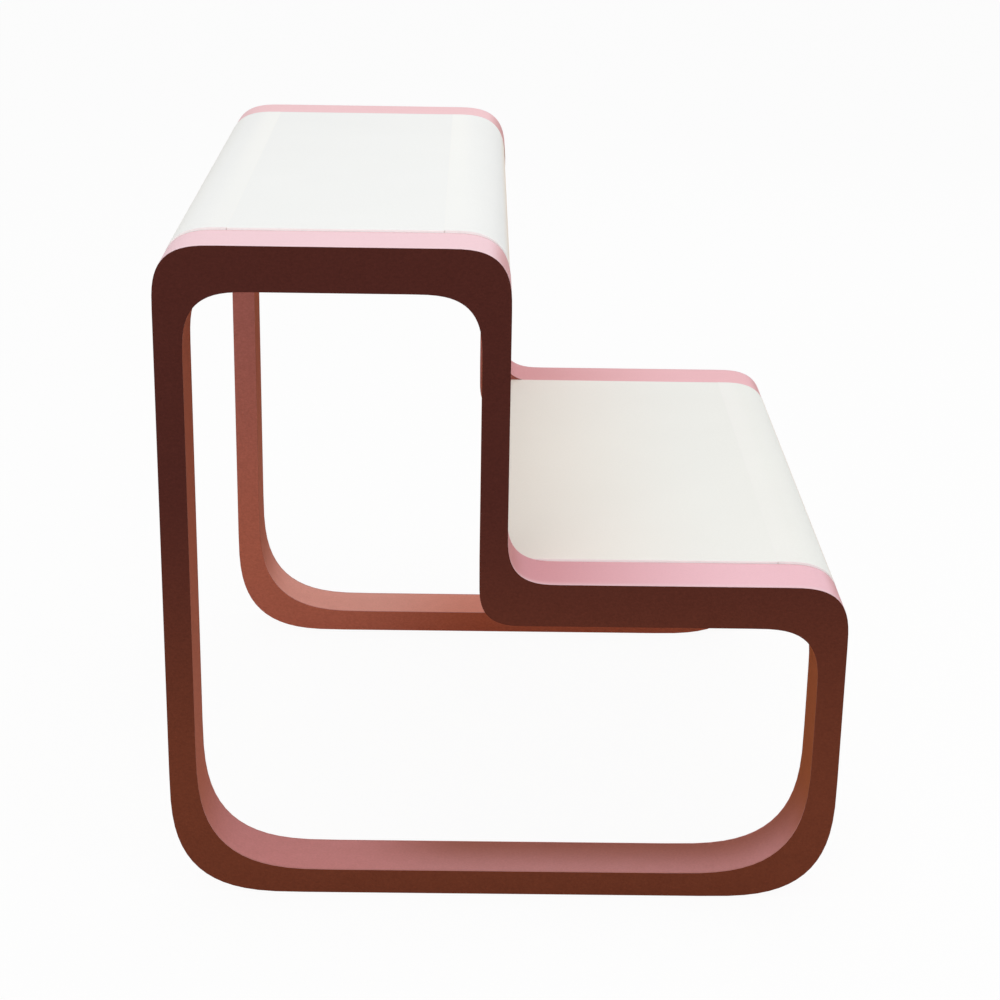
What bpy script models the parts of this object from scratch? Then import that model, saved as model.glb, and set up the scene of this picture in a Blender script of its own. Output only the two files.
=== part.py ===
"""Two-tier display stand: two stepped loop frames, joined by a white deck on each tier.

Metres, +Z up. X runs along the steps, Y from the near frame to the far frame.
The origin is on the floor, under the middle of the stand.
"""

import math
from collections import namedtuple

import bmesh
import bpy
from mathutils import Vector

# Overall sizes
STAND_WIDTH = 0.795
STAND_DEPTH = 0.880
STAND_HEIGHT = 0.800
UPPER_TIER_WIDTH = 0.397
LOWER_TIER_HEIGHT = 0.406

# Frame bars
FRAME_DEPTH = 0.075
POST_WIDTH = 0.032
TIER_RAIL_HEIGHT = 0.052
BOTTOM_RAIL_HEIGHT = 0.031

# Corners are superellipses. A reach is the length that a corner takes of each side it joins.
CORNER_POWER = 3.1
CORNER_STEPS = 16
OUTER_TIER_REACH = 0.073
OUTER_RISER_REACH = 0.064
OUTER_FLOOR_REACH = 0.158
INNER_TIER_REACH = 0.079
INNER_RISER_REACH = 0.056
INNER_FLOOR_REACH = 0.164

# Tongue joints between the bars and the corner blocks of a frame's core
TONGUE_LENGTH = 0.012
TONGUE_THICKNESS = 0.009
SHOULDER_ROOM = 0.003
LEAST_BAR_LENGTH = 0.045

# Sheets and strips that cover the core
FACE_THICKNESS = 0.0015
BAND_THICKNESS = 0.002

# Decks, which stand a little above the frames and stop just short of their ends
DECK_THICKNESS = 0.018
DECK_RISE = 0.003
DECK_END_INSET = 0.001
DECK_LANDING = 0.002
DECK_TONGUE_LENGTH = 0.008
DECK_TONGUE_THICKNESS = 0.006
BEND_TAIL_LENGTH = 0.006
LOWER_DECK_SETBACK = 0.008

# Carcass under the decks, kept above the undersides of the tier rails
CROSS_RAIL_WIDTH = 0.024
CROSS_RAIL_SETBACK = 0.003
CLEAT_SIDE = 0.020
DOWEL_RADIUS = 0.005
DOWEL_IN_RAIL = 0.022
DOWEL_IN_FRAME = 0.022
DOWEL_SIDES = 20

# Floor glides
GLIDE_RADIUS = 0.012
GLIDE_PROUD = 0.001
GLIDE_INSET = 0.022
GLIDE_SIDES = 32

# Clearance that touching pieces keep
GAP = 0.0003

SMOOTH_ANGLE = math.radians(30)

# Places worked out from the sizes
LEFT = -STAND_WIDTH / 2
RIGHT = STAND_WIDTH / 2
STEP = LEFT + UPPER_TIER_WIDTH
BASE = GLIDE_PROUD
FRAME_MIDDLE = (STAND_DEPTH - FRAME_DEPTH) / 2
INNER_FACE = STAND_DEPTH / 2 - FRAME_DEPTH
SPAN = 2 * (INNER_FACE - GAP)
CORE_INSET = BAND_THICKNESS + GAP
CORE_DEPTH = FRAME_DEPTH - 2 * (FACE_THICKNESS + GAP)
JOINT_MARGIN = TONGUE_LENGTH + SHOULDER_ROOM
DECK_UNDERSIDE = DECK_THICKNESS - DECK_RISE
CROSS_RAIL_HEIGHT = TIER_RAIL_HEIGHT - DECK_UNDERSIDE - GAP - CROSS_RAIL_SETBACK

# Directions in the plane of a frame: (x, z)
UP = Vector((0, 1))
DOWN = Vector((0, -1))
FORTH = Vector((1, 0))
BACK = Vector((-1, 0))

SIDES = (("near", -1), ("far", 1))
BAR_NAMES = ("left_post", "top_rail", "riser_post", "lower_rail", "right_post", "bottom_rail")

Corner = namedtuple("Corner", "name outer inner outer_reach inner_reach arrive leave")


# Outlines in the plane of a frame


def right_of(direction):
    return Vector((direction.y, -direction.x))


def at(direction, along, across):
    """The point `along` a direction and `across` to its right, both from the origin."""
    return direction * along + right_of(direction) * across


def frame_corners():
    """The loop's corners, clockwise from the bottom left as the near side shows them."""
    left = LEFT + POST_WIDTH
    right = RIGHT - POST_WIDTH
    step = STEP - POST_WIDTH
    floor = BASE + BOTTOM_RAIL_HEIGHT
    tier = LOWER_TIER_HEIGHT - TIER_RAIL_HEIGHT
    top = STAND_HEIGHT - TIER_RAIL_HEIGHT
    tier_reach = (OUTER_TIER_REACH, INNER_TIER_REACH)
    riser_reach = (OUTER_RISER_REACH, INNER_RISER_REACH)
    floor_reach = (OUTER_FLOOR_REACH, INNER_FLOOR_REACH)
    places = (
        ("bottom_left", (LEFT, BASE), (left, floor), floor_reach, BACK, UP),
        ("top_left", (LEFT, STAND_HEIGHT), (left, top), tier_reach, UP, FORTH),
        ("top_right", (STEP, STAND_HEIGHT), (step, top), tier_reach, FORTH, DOWN),
        ("riser", (STEP, LOWER_TIER_HEIGHT), (step, tier), riser_reach, DOWN, FORTH),
        ("lower_right", (RIGHT, LOWER_TIER_HEIGHT), (right, tier), tier_reach, FORTH, DOWN),
        ("bottom_right", (RIGHT, BASE), (right, floor), floor_reach, DOWN, BACK),
    )
    corners = [
        Corner(name, Vector(outer), Vector(inner), *reach, arrive, leave)
        for name, outer, inner, reach, arrive, leave in places
    ]
    return limit_reaches(corners)


def limit_reaches(corners):
    """Shortens the corners at both ends of a bar that is too short to hold them."""
    shares = [1.0] * len(corners)
    for i, first in enumerate(corners):
        j = (i + 1) % len(corners)
        second = corners[j]
        start = max(first.outer.dot(first.leave), first.inner.dot(first.leave))
        end = min(second.outer.dot(first.leave), second.inner.dot(first.leave))
        room = end - start - 2 * JOINT_MARGIN - LEAST_BAR_LENGTH
        first_reach = max(first.outer_reach, first.inner_reach)
        second_reach = max(second.outer_reach, second.inner_reach)
        share = room / (first_reach + second_reach)
        shares[i] = min(shares[i], share)
        shares[j] = min(shares[j], share)
    return [
        corner._replace(outer_reach=corner.outer_reach * share, inner_reach=corner.inner_reach * share)
        for corner, share in zip(corners, shares)
    ]


def corner_curve(place, reach, arrive, leave, inset):
    """Points round a corner of a clockwise outline, moved `inset` to the right of the way round."""
    centre = place - arrive * reach + leave * reach
    turn = right_of(arrive).dot(leave)
    points = []
    for step in range(CORNER_STEPS + 1):
        angle = math.pi / 2 * step / CORNER_STEPS
        along = abs(math.sin(angle)) ** (2 / CORNER_POWER)
        across = abs(math.cos(angle)) ** (2 / CORNER_POWER)
        outward = arrive * along ** (CORNER_POWER - 1) - leave * across ** (CORNER_POWER - 1)
        on_curve = centre + reach * (arrive * along - leave * across)
        points.append(on_curve - turn * inset * outward.normalized())
    return points


def outer_curve(corner, inset=0.0):
    return corner_curve(corner.outer, corner.outer_reach, corner.arrive, corner.leave, inset)


def inner_curve(corner, inset=0.0):
    """The opening's corner, moved `inset` into the frame."""
    return corner_curve(corner.inner, corner.inner_reach, corner.arrive, corner.leave, -inset)


def loop_of(corners, curve, inset=0.0):
    return [point for corner in corners for point in curve(corner, inset)]


def cut_before(corner):
    """Where the bar that arrives at a corner block ends, along its own direction."""
    outer = corner.outer.dot(corner.arrive) - corner.outer_reach
    inner = corner.inner.dot(corner.arrive) - corner.inner_reach
    return min(outer, inner) - JOINT_MARGIN


def cut_after(corner):
    """Where the bar that leaves a corner block starts, along its own direction."""
    outer = corner.outer.dot(corner.leave) + corner.outer_reach
    inner = corner.inner.dot(corner.leave) + corner.inner_reach
    return max(outer, inner) + JOINT_MARGIN


def core_sides(corner, direction):
    """The outer and inner side of a core bar, across its direction."""
    across = right_of(direction)
    return corner.outer.dot(across) + CORE_INSET, corner.inner.dot(across) - CORE_INSET


def deck_sides(corner, direction):
    """The outer and inner side of a deck, across the direction of the side it lies along."""
    across = corner.outer.dot(right_of(direction))
    return across, across + DECK_THICKNESS


def end_step(direction, end, length, thickness, sides):
    """A tongue (length along the direction) or groove (against it) in a bar's end, outer side first."""
    middle = sum(sides) / 2
    low = middle - thickness / 2
    high = middle + thickness / 2
    return [
        at(direction, end, low),
        at(direction, end + length, low),
        at(direction, end + length, high),
        at(direction, end, high),
    ]


def core_bar(corner, following):
    """Outline of the core bar between two corners, with a tongue at each end."""
    way = corner.leave
    start = cut_after(corner) + GAP / 2
    end = cut_before(following) - GAP / 2
    sides = core_sides(corner, way)
    return (
        [at(way, start, sides[0]), at(way, end, sides[0])]
        + end_step(way, end, TONGUE_LENGTH, TONGUE_THICKNESS, sides)
        + [at(way, end, sides[1]), at(way, start, sides[1])]
        + end_step(way, start, -TONGUE_LENGTH, TONGUE_THICKNESS, sides)[::-1]
    )


def core_block(corner):
    """Outline of a core corner block, with a groove in each end."""
    arrive, leave = corner.arrive, corner.leave
    first = cut_before(corner) + GAP / 2
    last = cut_after(corner) - GAP / 2
    first_sides = core_sides(corner, arrive)
    last_sides = core_sides(corner, leave)
    groove = TONGUE_THICKNESS + 2 * GAP
    return (
        [at(arrive, first, first_sides[0])]
        + outer_curve(corner, CORE_INSET)
        + [at(leave, last, last_sides[0])]
        + end_step(leave, last, -TONGUE_LENGTH, groove, last_sides)
        + [at(leave, last, last_sides[1])]
        + inner_curve(corner, CORE_INSET)[::-1]
        + [at(arrive, first, first_sides[1])]
        + end_step(arrive, first, TONGUE_LENGTH, groove, first_sides)[::-1]
    )


def deck_side(corner):
    """1 where the deck lies after this corner on the way round, -1 where it lies before it."""
    return 1 if corner.leave == FORTH else -1


def deck_corner(corner):
    """The corner that a deck turns round, beside this corner of the frames."""
    inward = FORTH * deck_side(corner) * DECK_END_INSET
    return corner._replace(outer=corner.outer + UP * DECK_RISE + inward)


def seam(corner):
    """The x of the joint between a flat board and the bend round this corner."""
    return corner.outer.x + deck_side(corner) * (corner.outer_reach + DECK_LANDING)


def deck_bend(corner):
    """Outline of a deck's bent end: the bend, the groove at its seam, and its tail."""
    side = deck_side(corner)
    fall = corner.arrive if side == 1 else corner.leave
    end = seam(corner) - side * GAP / 2
    tail = corner.outer.dot(fall) - side * (corner.outer_reach + BEND_TAIL_LENGTH)
    sides = deck_sides(corner, FORTH)
    tail_sides = deck_sides(corner, fall)
    groove = DECK_TONGUE_THICKNESS + 2 * GAP
    return (
        outer_curve(corner)[::side]
        + [at(FORTH, end, sides[0])]
        + end_step(FORTH, end, -side * DECK_TONGUE_LENGTH, groove, sides)
        + [at(FORTH, end, sides[1])]
        + outer_curve(corner, DECK_THICKNESS)[::-side]
        + [at(fall, tail, tail_sides[1]), at(fall, tail, tail_sides[0])]
    )


def upper_board(left, right):
    """Outline of the upper deck board, tongued into the bends at both ends."""
    start = seam(left) + GAP / 2
    end = seam(right) - GAP / 2
    sides = deck_sides(left, FORTH)
    tongue = (DECK_TONGUE_THICKNESS, sides)
    return (
        [at(FORTH, start, sides[0]), at(FORTH, end, sides[0])]
        + end_step(FORTH, end, DECK_TONGUE_LENGTH, *tongue)
        + [at(FORTH, end, sides[1]), at(FORTH, start, sides[1])]
        + end_step(FORTH, start, -DECK_TONGUE_LENGTH, *tongue)[::-1]
    )


def lower_board(right):
    """Outline of the lower deck board: square under the riser, tongued into its bend."""
    start = STEP - POST_WIDTH + LOWER_DECK_SETBACK
    end = seam(right) - GAP / 2
    sides = deck_sides(right, FORTH)
    return (
        [at(FORTH, start, sides[0]), at(FORTH, end, sides[0])]
        + end_step(FORTH, end, DECK_TONGUE_LENGTH, DECK_TONGUE_THICKNESS, sides)
        + [at(FORTH, end, sides[1]), at(FORTH, start, sides[1])]
    )


# Solids


def clear_scene():
    for obj in list(bpy.data.objects):
        bpy.data.objects.remove(obj)


def new_collection(name):
    collection = bpy.data.collections.new(name)
    bpy.context.scene.collection.children.link(collection)
    return collection


def linear(channel):
    """One 0 to 255 display channel as a linear value."""
    value = channel / 255
    return value / 12.92 if value <= 0.04045 else ((value + 0.055) / 1.055) ** 2.4


def new_material(name, display_colour, roughness):
    material = bpy.data.materials.new(name)
    material.use_nodes = True
    shader = material.node_tree.nodes["Principled BSDF"]
    colour = (*map(linear, display_colour), 1)
    shader.inputs["Base Color"].default_value = colour
    shader.inputs["Roughness"].default_value = roughness
    shader.inputs["Metallic"].default_value = 0
    material.diffuse_color = colour
    return material


def weld(mesh):
    """Joins a filled curve's loose caps to its sides."""
    shape = bmesh.new()
    shape.from_mesh(mesh)
    bmesh.ops.remove_doubles(shape, verts=shape.verts, dist=GAP / 10)
    bmesh.ops.recalc_face_normals(shape, faces=shape.faces)
    shape.to_mesh(mesh)
    shape.free()


def cut(obj, cutter):
    modifier = obj.modifiers.new(cutter.name, "BOOLEAN")
    modifier.operation = "DIFFERENCE"
    modifier.solver = "EXACT"
    modifier.object = cutter


class Group:
    """A sub-assembly: an empty that its parts and their cutters are parented to."""

    def __init__(self, name, y, parts, cutters):
        self.parts = parts
        self.cutters = cutters
        self.empty = bpy.data.objects.new(name, None)
        self.empty.location = (0, y, 0)
        parts.objects.link(self.empty)

    def add(self, name, mesh, material):
        """One object: a part with a material, or a cutter with none."""
        obj = bpy.data.objects.new(name, mesh)
        obj.parent = self.empty
        if material is None:
            obj.hide_render = True
            obj.display_type = "WIRE"
            self.cutters.objects.link(obj)
        else:
            mesh.materials.append(material)
            mesh.shade_smooth()
            mesh.set_sharp_from_angle(angle=SMOOTH_ANGLE)
            self.parts.objects.link(obj)
        return obj

    def plate(self, name, loops, depth, y, material):
        """A flat outline of closed loops, stood up in the XZ plane, `depth` thick about `y`."""
        curve = bpy.data.curves.new(name, "CURVE")
        curve.dimensions = "2D"
        curve.fill_mode = "BOTH"
        curve.extrude = depth / 2
        for loop in loops:
            spline = curve.splines.new("POLY")
            spline.points.add(len(loop) - 1)
            spline.use_cyclic_u = True
            for point, place in zip(spline.points, loop):
                point.co = (place.x, place.y, 0, 1)
        drawn = bpy.data.objects.new(name + "_outline", curve)
        bpy.context.scene.collection.objects.link(drawn)
        graph = bpy.context.evaluated_depsgraph_get()
        mesh = bpy.data.meshes.new_from_object(drawn.evaluated_get(graph))
        bpy.data.objects.remove(drawn)
        bpy.data.curves.remove(curve)
        weld(mesh)
        obj = self.add(name, mesh, material)
        obj.rotation_euler = (math.pi / 2, 0, 0)
        obj.location = (0, y, 0)
        return obj

    def box(self, name, low, high, material):
        """A block between two opposite corners."""
        mesh = bpy.data.meshes.new(name)
        block = bmesh.new()
        bmesh.ops.create_cube(block, size=1)
        bmesh.ops.scale(block, vec=Vector(high) - Vector(low), verts=block.verts)
        block.to_mesh(mesh)
        block.free()
        obj = self.add(name, mesh, material)
        obj.location = (Vector(high) + Vector(low)) / 2
        return obj

    def round_bar(self, name, radius, length, sides, material):
        """An upright round bar, centred on the group's origin until it is placed."""
        mesh = bpy.data.meshes.new(name)
        bar = bmesh.new()
        bmesh.ops.create_cone(
            bar, cap_ends=True, segments=sides, radius1=radius, radius2=radius, depth=length
        )
        bar.to_mesh(mesh)
        bar.free()
        return self.add(name, mesh, material)


# Sub-assemblies


def make_materials():
    return {
        "outer_face": new_material("maroon_grained_sheet", (84, 43, 34), 0.55),
        "inner_face": new_material("terracotta_sheet", (143, 80, 67), 0.55),
        "edge_band": new_material("pale_pink_band", (243, 205, 212), 0.5),
        "lining": new_material("dusty_rose_lining", (146, 90, 76), 0.5),
        "deck": new_material("white_deck", (240, 239, 235), 0.35),
        "core": new_material("fibreboard_core", (176, 143, 108), 0.8),
        "rail": new_material("softwood_rail", (206, 172, 128), 0.7),
        "dowel": new_material("beech_dowel", (198, 158, 112), 0.6),
        "glide": new_material("grey_felt_glide", (74, 72, 70), 0.95),
    }


def make_core(frame, side, corners, material):
    """The segments of a frame's core: bars with tongues, corner blocks with grooves."""
    blocks = {}
    for i, corner in enumerate(corners):
        following = corners[(i + 1) % len(corners)]
        bar_outline = core_bar(corner, following)
        frame.plate(f"{side}_{BAR_NAMES[i]}", [bar_outline], CORE_DEPTH, 0, material)
        block_name = f"{side}_{corner.name}_corner"
        blocks[corner.name] = frame.plate(block_name, [core_block(corner)], CORE_DEPTH, 0, material)
    return blocks


def make_cover(frame, side, sign, corners, materials):
    """A frame's face sheets, edge band and opening lining. Returns the inner face and the band."""
    outline = loop_of(corners, outer_curve)
    opening = loop_of(corners, inner_curve)
    band = [outline, loop_of(corners, outer_curve, BAND_THICKNESS)]
    lining = [loop_of(corners, inner_curve, BAND_THICKNESS), opening]
    face = [outline, opening]
    face_y = sign * (FRAME_DEPTH - FACE_THICKNESS) / 2
    frame.plate(f"{side}_outer_face", face, FACE_THICKNESS, face_y, materials["outer_face"])
    inner_face = frame.plate(f"{side}_inner_face", face, FACE_THICKNESS, -face_y, materials["inner_face"])
    edge_band = frame.plate(f"{side}_edge_band", band, CORE_DEPTH, 0, materials["edge_band"])
    frame.plate(f"{side}_opening_lining", lining, CORE_DEPTH, 0, materials["lining"])
    return inner_face, edge_band


def make_glides(frame, side, corners, edge_band, material):
    """Two round pads in holes through the bottom of the edge band, against the core."""
    height = GLIDE_PROUD + BAND_THICKNESS
    left = LEFT + corners["bottom_left"].outer_reach + GLIDE_INSET
    right = RIGHT - corners["bottom_right"].outer_reach - GLIDE_INSET
    for end, x in (("left", left), ("right", right)):
        name = f"{side}_{end}_glide"
        glide = frame.round_bar(name, GLIDE_RADIUS, height, GLIDE_SIDES, material)
        hole = frame.round_bar(name + "_hole", GLIDE_RADIUS + GAP, 3 * height, GLIDE_SIDES, None)
        for obj in (glide, hole):
            obj.location = (x, 0, height / 2)
        cut(edge_band, hole)


def make_decks(decks, corners, material):
    """Both decks: flat boards, tongued into bends that follow the frames' corners down."""
    top_left = deck_corner(corners["top_left"])
    top_right = deck_corner(corners["top_right"])
    lower_right = deck_corner(corners["lower_right"])
    outlines = {
        "upper_left_bend": deck_bend(top_left),
        "upper_deck_board": upper_board(top_left, top_right),
        "upper_right_bend": deck_bend(top_right),
        "lower_deck_board": lower_board(lower_right),
        "lower_right_bend": deck_bend(lower_right),
    }
    for name, outline in outlines.items():
        decks.plate(name, [outline], SPAN, 0, material)


def make_cross_rail(carcass, name, x, top, material):
    low = (x - CROSS_RAIL_WIDTH / 2, -SPAN / 2, top - CROSS_RAIL_HEIGHT)
    high = (x + CROSS_RAIL_WIDTH / 2, SPAN / 2, top)
    return carcass.box(name, low, high, material)


def make_dowel(carcass, name, sign, rail, pieces, material):
    """A dowel from the end of a cross rail into a frame, and its hole through the pieces it joins."""
    length = DOWEL_IN_RAIL + DOWEL_IN_FRAME
    middle = INNER_FACE + (DOWEL_IN_FRAME - DOWEL_IN_RAIL) / 2
    dowel = carcass.round_bar(name, DOWEL_RADIUS, length, DOWEL_SIDES, material)
    hole = carcass.round_bar(name + "_hole", DOWEL_RADIUS + GAP, length + 2 * GAP, DOWEL_SIDES, None)
    for obj in (dowel, hole):
        obj.rotation_euler = (math.pi / 2, 0, 0)
        obj.location = (rail.location.x, sign * middle, rail.location.z)
    for piece in (rail, *pieces):
        cut(piece, hole)


def make_cleat(carcass, name, sign, start, stop, top, material):
    """A square batten on a frame's inner face, under the long edge of a deck board."""
    wall = sign * (INNER_FACE - GAP)
    edge = wall - sign * CLEAT_SIDE
    low = (start, min(wall, edge), top - CLEAT_SIDE)
    high = (stop, max(wall, edge), top)
    carcass.box(name, low, high, material)


def make_carcass(carcass, corners, frames, materials):
    """Under each deck: two cross rails dowelled to the frames, and a cleat on each frame."""
    half_rail = CROSS_RAIL_WIDTH / 2
    places = {name: seam(corner) for name, corner in corners.items()}
    places["riser"] = STEP + half_rail
    tiers = (
        ("upper", STAND_HEIGHT, "top_left", "top_right"),
        ("lower", LOWER_TIER_HEIGHT, "riser", "lower_right"),
    )
    for tier, height, left, right in tiers:
        top = height - DECK_UNDERSIDE - GAP
        for end, corner_name in (("left", left), ("right", right)):
            rail_name = f"{tier}_{end}_cross_rail"
            rail = make_cross_rail(carcass, rail_name, places[corner_name], top, materials["rail"])
            for side, sign in SIDES:
                inner_face, blocks = frames[side]
                pieces = (inner_face, blocks[corner_name])
                make_dowel(carcass, f"{side}_{tier}_{end}_dowel", sign, rail, pieces, materials["dowel"])
        start = places[left] + half_rail + GAP
        stop = places[right] - half_rail - GAP
        for side, sign in SIDES:
            make_cleat(carcass, f"{side}_{tier}_cleat", sign, start, stop, top, materials["rail"])


def main():
    clear_scene()
    parts = new_collection("two_tier_display_stand")
    cutters = new_collection("cutters")
    materials = make_materials()
    corners = frame_corners()
    by_name = {corner.name: corner for corner in corners}
    frames = {}
    for side, sign in SIDES:
        frame = Group(f"{side}_frame", sign * FRAME_MIDDLE, parts, cutters)
        blocks = make_core(frame, side, corners, materials["core"])
        inner_face, edge_band = make_cover(frame, side, sign, corners, materials)
        make_glides(frame, side, by_name, edge_band, materials["glide"])
        frames[side] = (inner_face, blocks)
    make_decks(Group("decks", 0, parts, cutters), by_name, materials["deck"])
    make_carcass(Group("carcass", 0, parts, cutters), by_name, frames, materials)


main()
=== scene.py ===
"""Dresses the two-tier display stand in its finishes and stands it in a plain studio."""

import math

import bmesh
import bpy
from bpy.props import FloatProperty, FloatVectorProperty, IntProperty, PointerProperty
from bpy.types import Operator, Panel, PropertyGroup
from mathutils import Euler, Matrix, Vector


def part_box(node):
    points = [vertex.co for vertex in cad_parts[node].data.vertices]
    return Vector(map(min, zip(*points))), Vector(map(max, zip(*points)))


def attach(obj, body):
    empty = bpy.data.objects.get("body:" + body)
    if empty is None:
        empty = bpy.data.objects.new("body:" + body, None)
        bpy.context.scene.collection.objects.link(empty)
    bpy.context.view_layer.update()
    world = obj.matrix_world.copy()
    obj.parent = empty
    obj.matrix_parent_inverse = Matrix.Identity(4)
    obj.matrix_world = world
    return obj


bl_info = {
    "name": "Two-tier Display Stand",
    "version": (1, 0, 0),
    "blender": (4, 5, 0),
    "location": "View3D > Sidebar > Display Stand",
    "description": "Finishes and small pieces of a stepped display stand, and a studio for it",
    "category": "Object",
}

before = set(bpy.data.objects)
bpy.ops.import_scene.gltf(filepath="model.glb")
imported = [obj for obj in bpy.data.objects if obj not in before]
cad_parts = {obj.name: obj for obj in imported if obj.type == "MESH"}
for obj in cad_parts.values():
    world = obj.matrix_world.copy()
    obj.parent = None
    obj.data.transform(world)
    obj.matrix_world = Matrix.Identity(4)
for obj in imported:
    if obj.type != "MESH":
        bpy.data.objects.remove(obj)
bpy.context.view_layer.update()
BODY = "root"
LOW, HIGH = 0, 1
X, Y, Z = 0, 1, 2
WHITE = (1, 1, 1)
GREY = (0.4, 0.4, 0.4)

# Sockets of a Mix node that blends colours
MIX_SHARE, MIX_FIRST, MIX_SECOND, MIX_RESULT = 0, 6, 7, 2

# Faces of a frame, measured from the middle of the stand, and heights of the two decks
INNER_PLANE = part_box("far_inner_face")[LOW][Y]
OUTER_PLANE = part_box("far_outer_face")[HIGH][Y]
LOWER_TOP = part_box("lower_deck_board")[HIGH][Z]
RISER_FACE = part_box("near_riser_post")[HIGH][X]

# An X between the outer sides of a loop: cut edges that look away from it are on the outside
MID_LOOP = -0.15

# Sharp edges turn by more than this, and welded corners lie closer together than this
SHARP_ANGLE = math.radians(50)
WELD_DISTANCE = 0.00001
ARRIS_SEGMENTS = 2

# Seams of the decks: bend beside the seam, board beside it and the bend's side that meets it
SEAMS = (
    ("upper_left", "upper_deck_board", HIGH),
    ("upper_right", "upper_deck_board", LOW),
    ("lower_right", "lower_deck_board", LOW),
)

# A seam's filler: levels in its height, share of the gap that it fills, and where its ends
# follow the rounding of the deck, as shares of that rounding
SEAM_STEPS = 4
SEAM_FILL = 0.9
SEAM_ENDS = (0.1, 0.45, 1.0)

# A pin's sides, and its crown as shares of the pin's radius and rise, from the side inwards
PIN_SIDES = 24
PIN_CROWN = ((1, 0.3), (0.93, 0.65), (0.7, 0.88), (0.35, 1))

# Sizes of the marks on a surface, in marks per metre
LEATHER_SCALE = 430
SHEET_SPECK_SCALE = 380
SHEET_CLOUD_SCALE = 45
STRIP_CLOUD_SCALE = 60
WEAVE_SCALE = 300
SPECK_SCALE = 340
PEEL_SCALE = 260
DECK_CLOUD_SCALE = 9
GRIT_SCALE = 700
FIBREBOARD_SCALE = 900
BEECH_SCALE = 700
END_GRAIN_SCALE = 1100
FELT_SCALE = 1400
FLOOR_CLOUD_SCALE = 0.7

# Size of a fibrous wood's clouds, in sizes of its fibres
FIBRE_CLOUD_SIZE = 12

# Stretch of marks along x, y and z, and of softwood's grain along its length and across it
SHEET_SPECK_STRETCH = (0.6, 1, 1)
WEAVE_STRETCH = (1, 6, 1)
RING_STRETCH = (3, 90)
FIBRE_STRETCH = (12, 900)

# How strongly marks show, as shares
SHEET_CLOUD, SHEET_SPECK, SHEET_GRAIN = 0.16, 0.5, 0.2
BAND_CLOUD, BAND_SPECK = 0.06, 0.16
LINING_CLOUD, LINING_SPECK = 0.14, 0.32
DECK_CLOUD, DECK_SPECK = 0.03, 0.1
SEAM_GRIT = 0.5
SOFTWOOD_FIBRE = 0.25
WOOD_FIBRE = 0.5
FLOOR_CLOUD = 0.1

# How strongly painted light and shade show on a band, and how much painted shade dims a deck
# where it looks right
BAND_FAR_LIGHT, BAND_ARRIS_HIGHLIGHT, BAND_TURN_SHADE = 0.25, 0.35, 0.75
DECK_RIGHT_SHADE = 0.04

# Where one tone turns into another, in metres along an axis of the stand
FOOT_TO_UPPER = (0.1, 0.55)
SILL_TO_TIER = (0.2, 0.3)
NEAR_TO_FAR = (-0.1, 0.1)
SHEET_TO_LEFT = (0.0, -0.25)
SILL_TO_LEFT = (-0.03, -0.2)
BAND_TO_LEFT = (RISER_FACE - 0.05, RISER_FACE - 0.2)
BAND_FROM_RISER = (RISER_FACE, RISER_FACE + 0.3)
BAND_TO_UPPER = (LOWER_TOP + 0.05, LOWER_TOP + 0.25)
BAND_TO_ARRIS = (OUTER_PLANE - 0.012, OUTER_PLANE)
DECK_FROM_RISER = (RISER_FACE, RISER_FACE + 0.28)
DECK_TO_UPPER = (LOWER_TOP, LOWER_TOP + 0.2)

# Up-direction at which a bend's painted warm shade is full or gone: in the middle of the stand,
# and what is added for each metre outwards
TURNED, TURNED_GROWTH = 0.05, 0.8
LEVEL, LEVEL_GROWTH = 0.5, 0.4

# The painted highlight beside a seam: where it starts and fades, past the seam, and how it grows
# with depth
SHEEN_START = (0.0, 0.0003)
SHEEN_FADE = (0.01, 0.035)
SHEEN_DEPTH = (-0.3, 0.3)
SHEEN_NEAR, SHEEN_GROWTH = 0.25, 0.35

# The studio's lamps: name, property that holds the power, sides, place
LAMPS = (
    ("overhead_lamp", "overhead", (2.6, 2.6), (0.45, -0.2, 3.2)),
    ("front_lamp", "front", (2.4, 1.6), (-0.9, -3.4, 1.7)),
    ("back_lamp", "back", (2.2, 1.6), (1.2, 3.2, 2.2)),
)
LAMP_TARGET = (0, 0, 0.4)
FLOOR_TILES = 8


def display(red, green, blue):
    """A linear colour from 0 to 255 display channels, by the sRGB curve."""
    shares = (channel / 255 for channel in (red, green, blue))
    return tuple(s / 12.92 if s <= 0.04045 else ((s + 0.055) / 1.055) ** 2.4 for s in shares)


def deeper(colour, share):
    """A colour with this share of its light."""
    return tuple(share * channel for channel in colour)


def colour_property(name, description, *channels):
    return FloatVectorProperty(
        name=name,
        description=description,
        subtype="COLOR",
        size=3,
        min=0,
        max=1,
        default=display(*channels),
    )


def length_property(name, description, default):
    return FloatProperty(
        name=name,
        description=description,
        subtype="DISTANCE",
        unit="LENGTH",
        min=0,
        precision=5,
        default=default,
    )


def angle_property(name, description, default):
    return FloatProperty(name=name, description=description, subtype="ANGLE", default=default)


def power_property(name, description, default):
    return FloatProperty(
        name=name, description=description, subtype="POWER", unit="POWER", min=0, default=default
    )


def share_property(name, description, default):
    return FloatProperty(
        name=name, description=description, subtype="FACTOR", min=0, max=1, default=default
    )


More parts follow.
